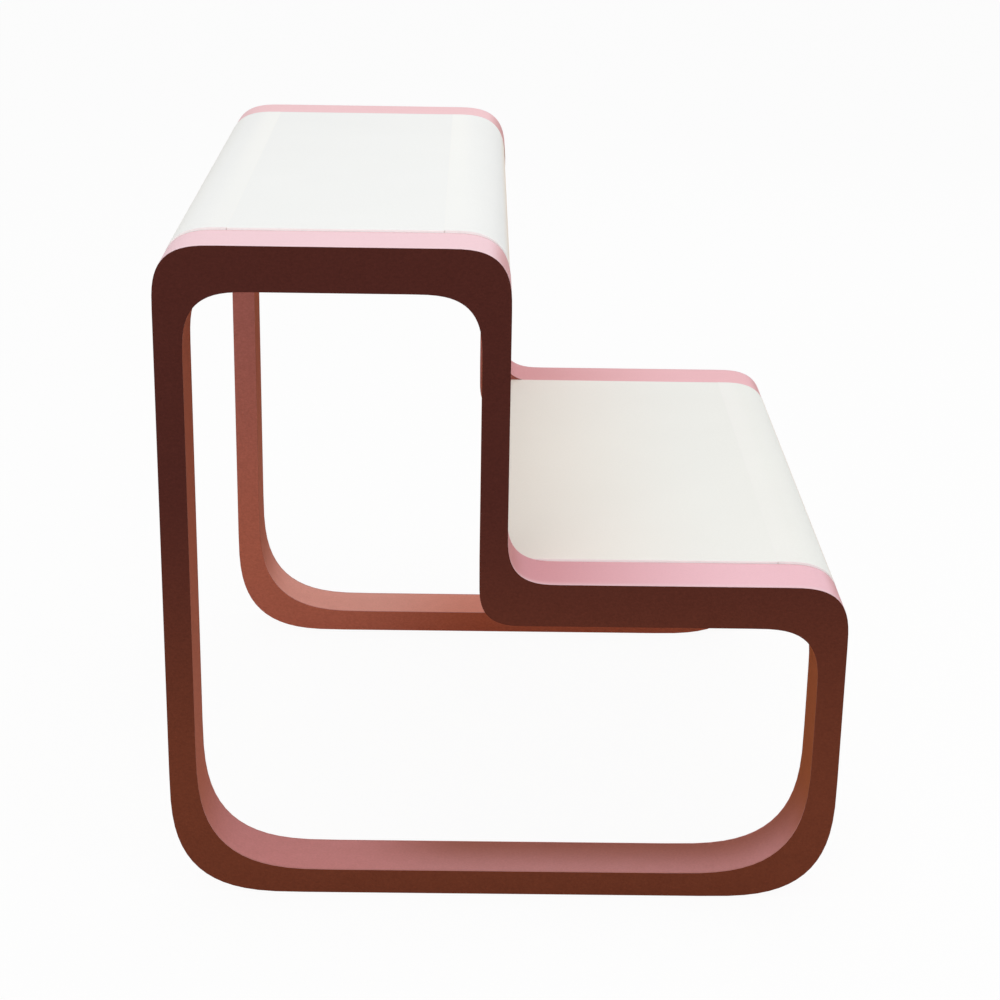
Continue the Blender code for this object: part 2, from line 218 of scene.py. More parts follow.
class StandFinishes(PropertyGroup):
    """Colours of the stand's surfaces."""

    outer_sheet: colour_property("Outer Sheet", "Outer faces, upper part", 87, 41, 34)
    # Painted floor bounce: the outer faces are warmer and lighter near the floor
    outer_floor_bounce: colour_property("Outer Foot", "Outer faces, near the floor", 124, 62, 41)
    inner_sheet: colour_property("Inner Sheet", "Inner faces, upper part", 182, 107, 97)
    # Painted floor bounce and painted light: the inner faces are warmer near the floor and
    # lighter low down at the left
    inner_floor_bounce: colour_property("Inner Foot", "Inner faces, near the floor", 174, 87, 60)
    inner_left_light: colour_property("Inner Left", "Inner faces, low down at the left", 195, 108, 85)
    sheet_edge: colour_property("Sheet Edge", "Cut edges of the face sheets", 128, 66, 42)
    # Painted highlights along the arrises: pale sill, side and tier edges, palest on the tiers
    sill_edge_highlight: colour_property("Sill Edge", "Cut edges that look up in an opening", 206, 142, 138)
    side_edge_highlight: colour_property("Side Edge", "Cut edges on the outer sides", 226, 180, 176)
    tier_edge_highlight: colour_property("Tier Edge", "Cut edges that look up on a tier", 247, 208, 214)
    band: colour_property("Upper Band", "Edge bands of the upper tier", 251, 215, 222)
    # Painted shade on the lower tier's bands, deepest beside the riser, and where a band looks
    # right; painted warmer light on the far frame's bands and a painted highlight at the outer
    # arris
    band_lower_shade: colour_property("Lower Band", "Edge bands of the lower tier", 252, 203, 213)
    band_riser_shade: colour_property("Riser Band", "Lower bands beside the riser", 221, 158, 165)
    band_turn_shade: colour_property("Turned Band", "Edge bands that look right", 206, 140, 138)
    band_far_light: colour_property("Far Band", "Warmth of the far frame's bands", 249, 182, 174)
    band_arris_highlight: colour_property("Band Arris", "Edge bands at the outer arris", 255, 235, 239)
    lining: colour_property("Lining", "Upright linings, upper part", 172, 98, 77)
    # Painted light and shade on the linings: another tone where they look left, lighter near the
    # floor, rosier and lighter where they look up, painted shade on their inner side, and lighter
    # at the left and on the far frame
    lining_right_light: colour_property("Right Lining", "Upright linings that look left", 170, 97, 63)
    lining_floor_bounce: colour_property("Lining Foot", "Upright linings, near the floor", 195, 120, 99)
    lit_sill: colour_property("Sill", "Linings that look up, outer side", 220, 155, 154)
    sill_back_shade: colour_property("Sill Back", "Linings that look up, inner side", 184, 117, 104)
    sill_left_light: colour_property("Left Sill", "Linings that look up, at the left", 226, 154, 153)
    sill_far_light: colour_property("Far Sill", "Linings that look up in the far frame", 252, 168, 150)
    sill_far_left_light: colour_property("Far Left Sill", "The far sill at the left", 255, 184, 170)
    deck: colour_property("Deck", "Lacquer of the decks", 248, 249, 247)
    # Painted light on the lower deck and painted shade beside the riser
    deck_lower_light: colour_property("Lower Deck", "Lacquer of the lower deck", 250, 251, 246)
    deck_riser_shade: colour_property("Deck Riser", "Lacquer beside the riser", 246, 240, 231)
    # Painted warm shade where the bends turn down, a painted highlight on the long edges and a
    # painted highlight where a bend starts
    deck_turn_shade: colour_property("Deck Turn", "Warmer lacquer where the bends turn", 241, 224, 205)
    deck_edge_highlight: colour_property("Deck Edge", "Long edges of the decks", 255, 255, 253)
    deck_highlight: colour_property("Deck Sheen", "Lacquer where a bend starts", 255, 255, 251)
    deck_seam: colour_property("Deck Seam", "Filler in the decks' seams", 249, 249, 246)
    softwood: colour_property("Softwood", "Cross rails and cleats", 206, 172, 128)
    softwood_ring: colour_property("Softwood Ring", "Darker grain of softwood", 168, 124, 80)
    fibreboard: colour_property("Fibreboard", "Core segments of the frames", 176, 143, 108)
    beech: colour_property("Beech", "Dowels and pins", 198, 158, 112)
    felt: colour_property("Felt", "Floor glides", 74, 72, 70)


class StandDetails(PropertyGroup):
    """Sizes of the stand's small details."""

    sheet_arris: length_property("Sheet Rounding", "Rounding of the face sheets", 0.0007)
    deck_arris: length_property("Deck Rounding", "Rounding of the decks' edges", 0.0008)
    wood_arris: length_property("Wood Rounding", "Rounding of the rails and cleats", 0.001)
    felt_arris: length_property("Felt Rounding", "Rounding of the glides", 0.0004)
    seam_gap: length_property("Seam Gap", "Gap between a deck board and its bend", 0.0003)
    seam_sink: length_property("Seam Sink", "Depth of the filler below the deck", 0.00004)
    pin_radius: length_property("Pin Radius", "Radius of the pins in the cleats", 0.004)
    pin_rise: length_property("Pin Rise", "Height of a pin's crown on the cleat", 0.0009)
    pin_length: length_property("Pin Length", "Length of a pin inside the cleat", 0.006)
    pin_margin: length_property("Pin Margin", "From a cleat's end to its first pin", 0.025)
    pin_count: IntProperty(
        name="Pins", description="Pins in each cleat", min=2, max=8, default=3
    )


class StandStage(PropertyGroup):
    """Camera, lamps and floor."""

    camera_place: FloatVectorProperty(
        name="Camera Place",
        description="Where the camera stands",
        subtype="TRANSLATION",
        unit="LENGTH",
        default=(-0.0422, -2.8333, 1.3759),
    )
    camera_pitch: angle_property("Pitch", "How far the camera looks down", 0.3474)
    camera_yaw: angle_property("Yaw", "How far the camera turns to the right", 0.0133)
    camera_roll: angle_property("Roll", "How far the camera tilts to its left", 0.0172)
    lens: FloatProperty(
        name="Lens",
        description="Focal length in millimetres",
        subtype="DISTANCE_CAMERA",
        min=1,
        default=80.684,
    )
    sky: FloatProperty(name="Room Light", description="Light from all round", min=0, default=0.55)
    overhead: power_property("Overhead Lamp", "Power of the lamp above", 30)
    front: power_property("Front Lamp", "Power of the lamp in front", 26)
    back: power_property("Back Lamp", "Power of the lamp behind", 10)
    floor: colour_property("Floor", "Studio floor", 247, 247, 246)
    floor_white: share_property("Floor White", "Plain white that the camera sees on it", 0.94)
    floor_size: length_property("Floor Size", "Length of the floor's sides", 60)


class Value:
    """A shader socket. Arithmetic on it adds Math nodes."""

    def __init__(self, finish, socket):
        self.finish = finish
        self.socket = socket

    def _math(self, operation, first, second):
        return self.finish.node(
            "ShaderNodeMath", {"operation": operation}, {0: first, 1: second}
        )

    def __add__(self, other):
        return self._math("ADD", self, other)

    __radd__ = __add__

    def __sub__(self, other):
        return self._math("SUBTRACT", self, other)

    def __rsub__(self, other):
        return self._math("SUBTRACT", other, self)

    def __mul__(self, other):
        return self._math("MULTIPLY", self, other)

    __rmul__ = __mul__

    def __abs__(self):
        return self._math("ABSOLUTE", self, 0)


class Nodes:
    """A node tree that is filled node by node."""

    def __init__(self, tree):
        self.tree = tree
        tree.nodes.clear()

    def node(self, kind, settings=None, sockets=None, output=0):
        """Adds a node: its settings first, then the values or links of its sockets."""
        made = self.tree.nodes.new(kind)
        for name, value in (settings or {}).items():
            setattr(made, name, value)
        for name, value in (sockets or {}).items():
            self.feed(made.inputs[name], value)
        return Value(self, made.outputs[output]) if made.outputs else None

    def feed(self, socket, value):
        if isinstance(value, Value):
            self.tree.links.new(value.socket, socket)
        elif socket.type == "RGBA" and len(value) == 3:
            socket.default_value = (*value, 1)
        else:
            socket.default_value = value


class Finish(Nodes):
    """A material or world, and the nodes that make it."""

    def __init__(self, owner):
        owner.use_nodes = True
        self.owner = owner
        super().__init__(owner.node_tree)

    def mix(self, share, first, second):
        """A colour between two colours."""
        settings = {"data_type": "RGBA"}
        sockets = {MIX_SHARE: share, MIX_FIRST: first, MIX_SECOND: second}
        return self.node("ShaderNodeMix", settings, sockets, MIX_RESULT)

    def shade(self, share, colour, tint):
        """A colour dimmed by a share of a tint."""
        settings = {"data_type": "RGBA", "blend_type": "MULTIPLY"}
        sockets = {MIX_SHARE: share, MIX_FIRST: colour, MIX_SECOND: tint}
        return self.node("ShaderNodeMix", settings, sockets, MIX_RESULT)

    def ramp(self, value, start, end):
        """0 before the start, 1 past the end and a smooth change between them."""
        sockets = {"Value": value, "From Min": start, "From Max": end}
        return self.node("ShaderNodeMapRange", {"interpolation_type": "SMOOTHSTEP"}, sockets)

    def place(self):
        """Where a point lies on the stand, in metres."""
        return self.node("ShaderNodeTexCoord", output="Object")

    def facing(self):
        """The x, y and z of the direction that the surface looks in."""
        return self.parts(self.node("ShaderNodeTexCoord", output="Normal"))

    def parts(self, vector):
        """The x, y and z of a vector."""
        split = self.node("ShaderNodeSeparateXYZ", sockets={0: vector})
        return [Value(self, out) for out in split.socket.node.outputs]

    def stretch(self, vector, *scale):
        return self.node(
            "ShaderNodeVectorMath", {"operation": "MULTIPLY"}, {0: vector, 1: scale}
        )

    def noise(self, vector, scale, detail=2.0, roughness=0.5):
        sockets = {"Vector": vector, "Scale": scale, "Detail": detail, "Roughness": roughness}
        return self.node("ShaderNodeTexNoise", sockets=sockets)

    def pebbles(self, vector, scale):
        """Rounded cells, 0 in the middle and highest at their edges."""
        sockets = {"Vector": vector, "Scale": scale}
        return self.node("ShaderNodeTexVoronoi", {"feature": "SMOOTH_F1"}, sockets)

    def bump(self, height, depth, strength=1.0):
        sockets = {"Height": height, "Distance": depth, "Strength": strength}
        return self.node("ShaderNodeBump", sockets=sockets)

    def surface(self, **sockets):
        """Ends the material in a Principled shader with these sockets."""
        titles = {name: name.replace("_", " ").title().replace("Ior", "IOR") for name in sockets}
        named = {titles[name]: value for name, value in sockets.items()}
        shader = self.node("ShaderNodeBsdfPrincipled", sockets=named)
        self.node("ShaderNodeOutputMaterial", sockets={"Surface": shader})
        return self.owner


def new_finish(name):
    return Finish(bpy.data.materials.get(name) or bpy.data.materials.new(name))


def nodes_ending(*endings):
    """The stand's solids whose names end in one of these words."""
    return [obj for name, obj in sorted(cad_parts.items()) if name.endswith(endings)]


def wear(obj, material):
    """Gives a solid its finish."""
    obj.data.materials.clear()
    obj.data.materials.append(material)


def smooth_shading():
    """Geometry nodes that shade a solid smoothly between its sharp edges."""
    name = "smooth_shading"
    if name in bpy.data.node_groups:
        return bpy.data.node_groups[name]
    group = bpy.data.node_groups.new(name, "GeometryNodeTree")
    for way in ("INPUT", "OUTPUT"):
        group.interface.new_socket("Mesh", in_out=way, socket_type="NodeSocketGeometry")
    nodes = Nodes(group)
    solid = nodes.node("NodeGroupInput")
    angle = nodes.node("GeometryNodeInputMeshEdgeAngle")
    sharp = nodes.node(
        "FunctionNodeCompare", {"operation": "GREATER_THAN"}, {0: angle, 1: SHARP_ANGLE}
    )
    sockets = {"Mesh": solid, "Remove Custom": True, "Edge Sharpness": sharp}
    shaded = nodes.node("GeometryNodeSetMeshNormal", {"mode": "SHARPNESS"}, sockets)
    nodes.node("NodeGroupOutput", sockets={0: shaded})
    return group


def smooth(obj):
    """Shades the bends of a faceted solid smoothly."""
    weld = obj.modifiers.get("Weld") or obj.modifiers.new("Weld", "WELD")
    weld.merge_threshold = WELD_DISTANCE
    shading = obj.modifiers.get("Shading") or obj.modifiers.new("Shading", "NODES")
    shading.node_group = smooth_shading()


def round_edges(obj, width):
    """Softens the sharp edges of a solid."""
    smooth(obj)
    bevel = obj.modifiers.get("Arris") or obj.modifiers.new("Arris", "BEVEL")
    bevel.width = width
    bevel.segments = ARRIS_SEGMENTS
    bevel.limit_method = "ANGLE"
    bevel.angle_limit = SHARP_ANGLE
    bevel.harden_normals = True


def new_piece(name, shape, material):
    """Makes a piece of the stand from a bmesh, which it frees."""
    bmesh.ops.recalc_face_normals(shape, faces=shape.faces)
    mesh = bpy.data.meshes.new(name)
    shape.to_mesh(mesh)
    shape.free()
    piece = bpy.data.objects.new(name, mesh)
    bpy.context.scene.collection.objects.link(piece)
    wear(piece, material)
    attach(piece, BODY)
    return piece


def join_rows(shape, rows):
    """Skins closed rows of corners in turn and caps the first and the last."""
    for row, after in zip(rows, rows[1:]):
        for corner in range(len(row)):
            shape.faces.new((row[corner - 1], row[corner], after[corner], after[corner - 1]))
    shape.faces.new(rows[0])
    shape.faces.new(rows[-1])


def sheet_finish(name, upper, floor_bounce, left, finishes):
    """Laminate with a fine leather grain, with painted floor bounce that makes it warmer near the
    floor and painted highlights on its upper edges.
    """
    finish = new_finish(name)
    place = finish.place()
    along, _across, height = finish.parts(place)
    facing = finish.facing()
    grain = finish.pebbles(place, LEATHER_SCALE)
    speck = finish.noise(finish.stretch(place, *SHEET_SPECK_STRETCH), SHEET_SPECK_SCALE, detail=3)
    cloud = finish.noise(place, SHEET_CLOUD_SCALE, detail=3)
    # Painted floor bounce: warmer and lighter low down, and on the inner faces lighter low at the
    # left
    low = 1 - finish.ramp(height, *FOOT_TO_UPPER)
    leftward = finish.ramp(along, *SHEET_TO_LEFT)
    body = finish.mix(low, upper, finish.mix(leftward, floor_bounce, left))
    body = finish.mix(SHEET_CLOUD * cloud, body, deeper(upper, share=0.7))
    body = finish.shade(SHEET_SPECK * speck + SHEET_GRAIN * grain, body, GREY)
    # Painted highlights: pale cut edges on the outer sides and where they look up, palest on the
    # tiers
    looks_up = finish.ramp(facing[Z], start=0.05, end=0.4)
    on_tier = finish.ramp(height, *SILL_TO_TIER)
    outside = finish.ramp(facing[X] * (along - MID_LOOP), start=0.0, end=0.04)
    edge = finish.mix(outside, finishes.sheet_edge, finishes.side_edge_highlight)
    upper_edge_highlight = finish.mix(on_tier, finishes.sill_edge_highlight, finishes.tier_edge_highlight)
    edge = finish.mix(looks_up, edge, upper_edge_highlight)
    cut_edge = 1 - finish.ramp(abs(facing[Y]), start=0.35, end=0.8)
    return finish.surface(
        base_color=finish.mix(cut_edge, body, edge),
        roughness=0.52 + 0.18 * cloud,
        normal=finish.bump(1 - grain, depth=0.0003, strength=0.4),
        specular_ior_level=0.06,
    )


def strip_marks(finish, place):
    """Clouds, a weave across the strip and specks, as the bands and linings have."""
    cloud = finish.noise(place, STRIP_CLOUD_SCALE, detail=3)
    weave = finish.noise(finish.stretch(place, *WEAVE_STRETCH), WEAVE_SCALE)
    speck = finish.noise(place, SPECK_SCALE, detail=3)
    return cloud, weave, speck


def band_finish(finishes):
    """Satin strip with painted shade on the lower tier, deepest beside the riser, and where it
    looks right, painted warmer light on the far frame and a painted highlight at its outer arris.
    """
    finish = new_finish("pale_pink_edge_band")
    place = finish.place()
    along, across, height = finish.parts(place)
    cloud, weave, speck = strip_marks(finish, place)
    from_riser = finish.ramp(along, *BAND_FROM_RISER)
    on_upper = finish.ramp(height, *BAND_TO_UPPER)
    leftward = finish.ramp(along, *BAND_TO_LEFT)
    at_arris = finish.ramp(-1 * across, *BAND_TO_ARRIS)
    far = finish.ramp(across, *NEAR_TO_FAR)
    looks_right = finish.ramp(finish.facing()[X], start=0.4, end=0.95)
    # Painted shade: deeper on the lower tier, deepest beside the riser
    lower_light_and_shade = finish.mix(from_riser, finishes.band_riser_shade, finishes.band_lower_shade)
    colour = finish.mix(on_upper + leftward, lower_light_and_shade, finishes.band)
    # Painted warmer light on the far frame, a painted highlight at the outer arris and painted
    # shade where the band looks right
    colour = finish.mix(BAND_FAR_LIGHT * far, colour, finishes.band_far_light)
    colour = finish.mix(BAND_ARRIS_HIGHLIGHT * at_arris, colour, finishes.band_arris_highlight)
    colour = finish.mix(BAND_TURN_SHADE * looks_right, colour, finishes.band_turn_shade)
    colour = finish.mix(BAND_CLOUD * cloud, colour, deeper(finishes.band_riser_shade, share=0.9))
    colour = finish.shade(BAND_SPECK * speck, colour, GREY)
    return finish.surface(
        base_color=colour,
        roughness=0.46 + 0.14 * weave,
        normal=finish.bump(weave, depth=0.0001, strength=0.2),
        specular_ior_level=0.1,
    )


def lining_finish(finishes):
    """Satin strip round an opening, with painted light and shade: rosier where it looks up,
    lighter near the floor, at the left and on the far frame, another tone where it looks left and
    painted shade on its inner side.
    """
    finish = new_finish("dusty_rose_lining")
    place = finish.place()
    along, across, height = finish.parts(place)
    facing = finish.facing()
    cloud, weave, speck = strip_marks(finish, place)
    low = 1 - finish.ramp(height, *FOOT_TO_UPPER)
    leftward = finish.ramp(along, *SILL_TO_LEFT)
    outward = finish.ramp(abs(across), INNER_PLANE, OUTER_PLANE)
    far = finish.ramp(across, *NEAR_TO_FAR)
    looks_up = finish.ramp(facing[Z], start=0.0, end=0.9)
    looks_left = finish.ramp(facing[X], start=0.2, end=-0.4)
    # Painted light and shade: lighter near the floor, another tone where it looks left, painted
    # shade on the sill's inner side, and lighter at the left and on the far frame
    upright = finish.mix(low, finishes.lining, finishes.lining_floor_bounce)
    upright = finish.mix(looks_left, upright, finishes.lining_right_light)
    lit_sill = finish.mix(outward, finishes.sill_back_shade, finishes.lit_sill)
    lit_sill = finish.mix(leftward, lit_sill, finishes.sill_left_light)
    far_lit_sill = finish.mix(leftward, finishes.sill_far_light, finishes.sill_far_left_light)
    lit_sill = finish.mix(far, lit_sill, far_lit_sill)
    colour = finish.mix(looks_up, upright, lit_sill)
    colour = finish.mix(LINING_CLOUD * cloud, colour, deeper(finishes.lining, share=0.8))
    colour = finish.shade(LINING_SPECK * speck, colour, GREY)
    return finish.surface(
        base_color=colour,
        roughness=0.5 + 0.14 * weave,
        normal=finish.bump(weave, depth=0.0001, strength=0.2),
        specular_ior_level=0.0,
    )


def seam_highlight(finish, along):
    """Painted highlight: 1 on a bend beside its seam, fading away from it."""
    highlight = 0
    for name, _board, side in SEAMS:
        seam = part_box(f"{name}_bend")[side][X]
        past = along - seam if side == LOW else seam - along
        fade = finish.ramp(past, *SHEEN_FADE)
        highlight = highlight + finish.ramp(past, *SHEEN_START) * (1 - fade)
    return highlight


def deck_finish(finishes):
    """White satin lacquer with a slight orange peel, with painted warm shade where the bends turn
    down, painted shade beside the riser and where the upper bend looks right, and painted
    highlights beside the seams, on left-facing bends and on the long edges.
    """
    finish = new_finish("white_lacquer")
    place = finish.place()
    along, across, height = finish.parts(place)
    facing = finish.facing()
    peel = finish.noise(place, PEEL_SCALE)
    speck = finish.noise(place, SPECK_SCALE, detail=3)
    cloud = finish.noise(place, DECK_CLOUD_SCALE, detail=3)
    outward = abs(along)
    fully = TURNED + TURNED_GROWTH * outward
    level = LEVEL + LEVEL_GROWTH * outward
    turned = 1 - finish.ramp(facing[Z], start=fully, end=level)
    at_bend = finish.ramp(abs(facing[X]), start=0.3, end=0.6)
    looks_left = finish.ramp(facing[X], start=-0.2, end=-0.8)
    looks_right = finish.ramp(facing[X], start=0.05, end=0.4)
    at_edge = finish.ramp(abs(facing[Y]), start=0.3, end=0.8)
    from_riser = finish.ramp(along, *DECK_FROM_RISER)
    on_upper = finish.ramp(height, *DECK_TO_UPPER)
    # Painted shade beside the riser and painted light on the lower deck
    lower_light_and_shade = finish.mix(from_riser, finishes.deck_riser_shade, finishes.deck_lower_light)
    colour = finish.mix(on_upper, lower_light_and_shade, finishes.deck)
    # Painted highlights beside the seams and where a bend looks left
    strength = SHEEN_NEAR + SHEEN_GROWTH * finish.ramp(across, *SHEEN_DEPTH)
    highlight = strength * seam_highlight(finish, along)
    colour = finish.mix(highlight + looks_left, colour, finishes.deck_highlight)
    # Random clouds, and painted shade where the upper deck looks right
    cloud_and_shade = DECK_CLOUD * cloud + DECK_RIGHT_SHADE * on_upper * looks_right
    colour = finish.shade(cloud_and_shade, colour, GREY)
    # Painted warm shade where the bends turn down, and a painted highlight on the long edges
    colour = finish.mix(turned * at_bend, colour, finishes.deck_turn_shade)
    colour = finish.mix(at_edge, colour, finishes.deck_edge_highlight)
    colour = finish.shade(DECK_SPECK * speck, colour, GREY)
    return finish.surface(
        base_color=colour,
        roughness=0.4 + 0.1 * cloud,
        normal=finish.bump(peel, depth=0.0001, strength=0.12),
        specular_ior_level=0.2,
    )


def seam_finish(finishes):
    """Filler rubbed into the seams of the decks, a little duller than the lacquer."""
    finish = new_finish("seam_filler")
    grit = finish.noise(finish.place(), GRIT_SCALE, detail=3)
    tone = finishes.deck_seam
    colour = finish.mix(SEAM_GRIT * grit, tone, deeper(tone, share=0.94))
    return finish.surface(
        base_color=colour,
        roughness=0.5 + 0.2 * grit,
        normal=finish.bump(grit, depth=0.0001, strength=0.3),
        specular_ior_level=0.2,
    )


def long_grain(finish, stretch, length, **settings):
    """Noise drawn out along one axis."""
    along, across = stretch
    scales = [along if axis == length else across for axis in (X, Y, Z)]
    return finish.noise(finish.stretch(finish.place(), *scales), scale=1, **settings)


def softwood_finish(name, length, finishes):
    """Planed softwood, its grain along one axis."""
    finish = new_finish(name)
    ring = long_grain(finish, RING_STRETCH, length, detail=4, roughness=0.6)
    fibre = long_grain(finish, FIBRE_STRETCH, length)
    share = finish.ramp(ring, start=0.42, end=0.66)
    colour = finish.mix(share, finishes.softwood, finishes.softwood_ring)
    colour = finish.mix(SOFTWOOD_FIBRE * fibre, colour, deeper(finishes.softwood, share=0.7))
    return finish.surface(
        base_color=colour,
        roughness=0.62 + 0.18 * fibre,
        normal=finish.bump(fibre, depth=0.0002, strength=0.3),
        specular_ior_level=0.3,
    )


def fibre_finish(name, tone, scale):
    """Pressed or turned wood with fine fibres."""
    finish = new_finish(name)
    place = finish.place()
    fibre = finish.noise(place, scale, detail=3, roughness=0.7)
    cloud = finish.noise(place, scale / FIBRE_CLOUD_SIZE)
    return finish.surface(
        base_color=finish.mix(WOOD_FIBRE * fibre, tone, deeper(tone, share=0.6)),
        roughness=0.7 + 0.2 * cloud,
        normal=finish.bump(fibre, depth=0.0002, strength=0.4),
        specular_ior_level=0.3,
    )


def felt_finish(finishes):
    """Pressed felt with loose fibres."""
    finish = new_finish("grey_felt")
    fuzz = finish.noise(finish.place(), FELT_SCALE, detail=4, roughness=0.8)
    return finish.surface(
        base_color=finish.mix(fuzz, deeper(finishes.felt, share=0.6), finishes.felt),
        roughness=0.9 + 0.1 * fuzz,
        normal=finish.bump(fuzz, depth=0.0004, strength=0.8),
        specular_ior_level=0.1,
    )


class STAND_OT_face_sheets(Operator):
    """Finishes the sheets on both sides of the frames and rounds their edges"""

    bl_idname = "stand.face_sheets"
    bl_label = "Finish Face Sheets"

    def execute(self, context):
        finishes = context.scene.stand_finishes
        width = context.scene.stand_details.sheet_arris
        outer = (finishes.outer_sheet, finishes.outer_floor_bounce, finishes.outer_floor_bounce)
        inner = (finishes.inner_sheet, finishes.inner_floor_bounce, finishes.inner_left_light)
        sheets = (
            ("_outer_face", "maroon_grained_sheet", outer),
            ("_inner_face", "terracotta_grained_sheet", inner),
        )
        for ending, name, tones in sheets:
            material = sheet_finish(name, *tones, finishes)
            for sheet in nodes_ending(ending):
                wear(sheet, material)
                round_edges(sheet, width)
        return {"FINISHED"}


class STAND_OT_edge_bands(Operator):
    """Finishes the strips round the outside and the openings of the frames"""

    bl_idname = "stand.edge_bands"
    bl_label = "Finish Edge Bands"

    def execute(self, context):
        finishes = context.scene.stand_finishes
        strips = {
            "_edge_band": band_finish(finishes),
            "_opening_lining": lining_finish(finishes),
        }
        for ending, material in strips.items():
            for strip in nodes_ending(ending):
                wear(strip, material)
                smooth(strip)
        return {"FINISHED"}


class STAND_OT_decks(Operator):
    """Lacquers the deck boards and their bends and rounds their edges"""

    bl_idname = "stand.decks"
    bl_label = "Finish Decks"

    def execute(self, context):
        material = deck_finish(context.scene.stand_finishes)
        for deck in nodes_ending("_deck_board", "_bend"):
            wear(deck, material)
            round_edges(deck, context.scene.stand_details.deck_arris)
        return {"FINISHED"}


def rounded_drop(inset, radius):
    """How far an edge rounded to this radius drops at an inset from its face."""
    return radius - math.sqrt(radius**2 - (radius - inset) ** 2)


def seam_row(shape, middle, place, top, drop, details):
    """Corners of a filler between two rounded edges, from a drop below the deck downwards."""
    radius = details.deck_arris
    levels = [drop + (radius - drop) * step / SEAM_STEPS for step in range(SEAM_STEPS + 1)]
    reaches = [SEAM_FILL * details.seam_gap / 2 + rounded_drop(level, radius) for level in levels]
    left = [(middle - reach, place, top - level) for reach, level in zip(reaches, levels)]
    right = [(middle + reach, place, top - level) for reach, level in zip(reaches, levels)]
    return [shape.verts.new(corner) for corner in left + right[::-1]]


class STAND_OT_seams(Operator):
    """Fills the seams between the deck boards and their bends"""

    bl_idname = "stand.seams"
    bl_label = "Fill Deck Seams"

    def execute(self, context):
        details = context.scene.stand_details
        material = seam_finish(context.scene.stand_finishes)
        for name, board, side in SEAMS:
            half_gap = details.seam_gap / 2
            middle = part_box(f"{name}_bend")[side][X] + (half_gap if side == HIGH else -half_gap)
            low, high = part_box(board)
            insets = [share * details.deck_arris for share in SEAM_ENDS]
            places = [low[Y] + inset for inset in insets]
            places += [high[Y] - inset for inset in reversed(insets)]
            shape = bmesh.new()
            rows = []
            for place, inset in zip(places, insets + insets[::-1]):
                drop = details.seam_sink + rounded_drop(inset, details.deck_arris)
                rows.append(seam_row(shape, middle, place, high[Z], drop, details))
            join_rows(shape, rows)
            new_piece(f"{name}_seam_filler", shape, material)
        return {"FINISHED"}


class STAND_OT_core(Operator):
    """Finishes the core bars and corner blocks inside the frames"""

    bl_idname = "stand.core"
    bl_label = "Finish Core"

    def execute(self, context):
        tone = context.scene.stand_finishes.fibreboard
        material = fibre_finish("raw_fibreboard", tone, FIBREBOARD_SCALE)
        bars = ("_post", "_top_rail", "_lower_rail", "_bottom_rail")
        for segment in nodes_ending(*bars, "_corner"):
            wear(segment, material)
        return {"FINISHED"}


class STAND_OT_carcass(Operator):
    """Finishes the cross rails and cleats under the decks and eases their edges"""

    bl_idname = "stand.carcass"
    bl_label = "Finish Carcass"

    def execute(self, context):
        finishes = context.scene.stand_finishes
        timbers = {
            "_cross_rail": softwood_finish("rail_softwood", Y, finishes),
            "_cleat": softwood_finish("cleat_softwood", X, finishes),
        }
        for ending, material in timbers.items():
            for piece in nodes_ending(ending):
                wear(piece, material)
                round_edges(piece, context.scene.stand_details.wood_arris)
        return {"FINISHED"}


class STAND_OT_dowels(Operator):
    """Finishes the dowels between the cross rails and the frames"""

    bl_idname = "stand.dowels"
    bl_label = "Finish Dowels"

    def execute(self, context):
        tone = context.scene.stand_finishes.beech
        material = fibre_finish("turned_beech", tone, BEECH_SCALE)
        for dowel in nodes_ending("_dowel"):
            wear(dowel, material)
            smooth(dowel)
        return {"FINISHED"}


def turned_pin(details):
    """A pin along Z with a chamfered, crowned head above Z = 0."""
    radius, rise = details.pin_radius, details.pin_rise
    crown = [(out * radius, up * rise) for out, up in PIN_CROWN]
    turns = [math.tau * side / PIN_SIDES for side in range(PIN_SIDES)]
    shape = bmesh.new()
    rows = []
    for reach, height in [(radius, -details.pin_length)] + crown:
        corners = [(reach * math.cos(t), reach * math.sin(t), height) for t in turns]
        rows.append([shape.verts.new(corner) for corner in corners])
    join_rows(shape, rows)
    return shape


class STAND_OT_pins(Operator):
    """Drives beech pins through the cleats into the frames"""

    bl_idname = "stand.pins"
    bl_label = "Add Cleat Pins"

    def execute(self, context):
        details = context.scene.stand_details
        tone = deeper(context.scene.stand_finishes.beech, share=0.9)
        material = fibre_finish("beech_end_grain", tone, END_GRAIN_SCALE)
        for cleat in nodes_ending("_cleat"):
            low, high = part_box(cleat.name)
            inward = 1 if high[Y] < 0 else -1
            face = high[Y] if inward > 0 else low[Y]
            turn = Vector((0, inward, 0)).to_track_quat("Z", "X")
            start = low[X] + details.pin_margin
            pitch = (high[X] - details.pin_margin - start) / (details.pin_count - 1)
            for number in range(details.pin_count):
                name = f"{cleat.name}_pin_{number + 1}"
                pin = new_piece(name, turned_pin(details), material)
                place = (start + number * pitch, face, (low[Z] + high[Z]) / 2)
                pin.matrix_world = Matrix.LocRotScale(place, turn, None)
        return {"FINISHED"}


class STAND_OT_glides(Operator):
    """Finishes the felt glides under the frames"""

    bl_idname = "stand.glides"
    bl_label = "Finish Glides"

    def execute(self, context):
        material = felt_finish(context.scene.stand_finishes)
        for glide in nodes_ending("_glide"):
            wear(glide, material)
            round_edges(glide, context.scene.stand_details.felt_arris)
        return {"FINISHED"}


